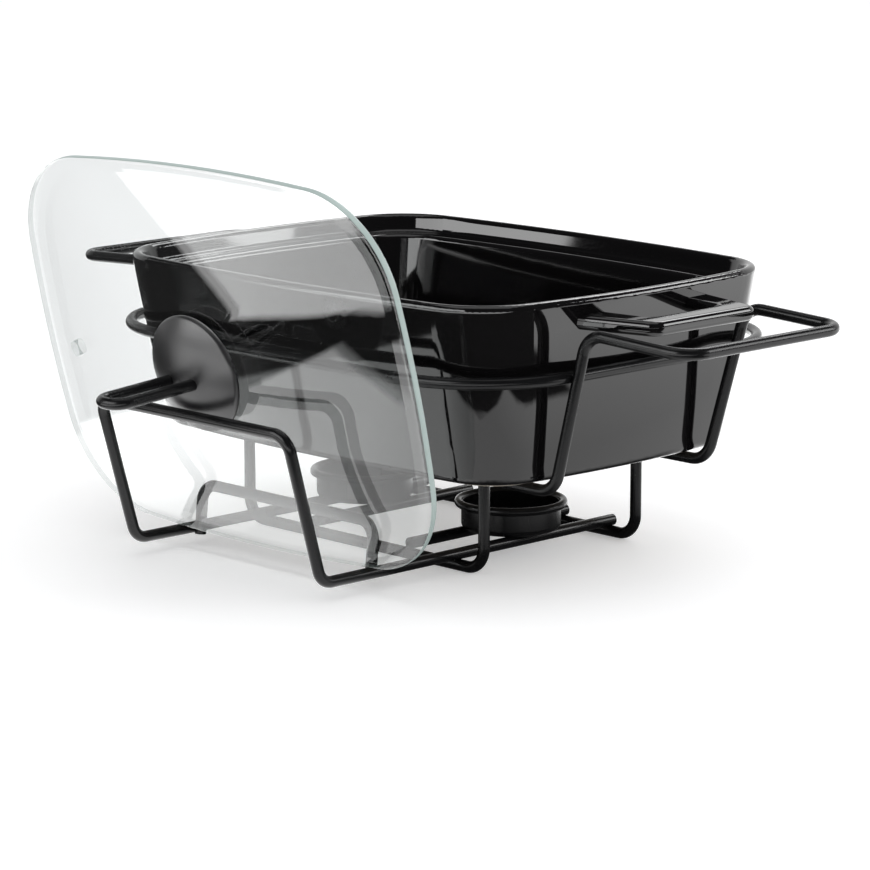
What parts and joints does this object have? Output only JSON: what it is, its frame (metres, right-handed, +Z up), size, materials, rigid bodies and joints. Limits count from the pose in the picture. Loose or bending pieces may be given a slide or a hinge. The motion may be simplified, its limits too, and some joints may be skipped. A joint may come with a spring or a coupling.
{
  "type": "food warmer with glass lid",
  "caption": "Black stoneware dish on a bent-wire stand with tea-light cups, wire carrying handles and a rack that parks the loose glass lid upright.",
  "frame": {"origin": "middle of the whole object's underside, on the table", "axes": "+X along the dish's length, -Y towards the parked lid, +Z up"},
  "size_m": [0.3792, 0.2882, 0.1744],
  "materials": {
    "wire_black": "satin powder coat",
    "cup_black": "satin enamel",
    "glaze_black": "high gloss glaze",
    "clear_glass": "clear, polished edge",
    "dome_black": "satin",
    "gasket_rubber": "matt",
    "steel": "bright"
  },
  "bodies": {
    "stand": {"cradle_wire": "wire_black", "ring_wire": "wire_black", "leg_wire_front": "wire_black", "leg_wire_back": "wire_black", "rack_wire": "wire_black", "stop_wire": "wire_black", "cup_wire_left": "wire_black", "cup_wire_right": "wire_black", "cup_left": "cup_black", "cup_right": "cup_black"},
    "dish": {"dish": "glaze_black"},
    "lid": {"lid_glass": "clear_glass", "handle_dome": "dome_black", "handle_loop": "wire_black", "handle_gasket": "gasket_rubber", "handle_washer": "steel", "handle_screw": "steel"}
  },
  "joints": [
    {"name": "dish_lift", "type": "slide", "parent": "stand", "child": "dish", "axis": [0, 0, 1], "range_m": [0, 0.09]},
    {"name": "lid_lift", "type": "slide", "parent": "stand", "child": "lid", "axis": [0, -0.2402, 0.9707], "range_m": [0, 0.1]}
  ]
}
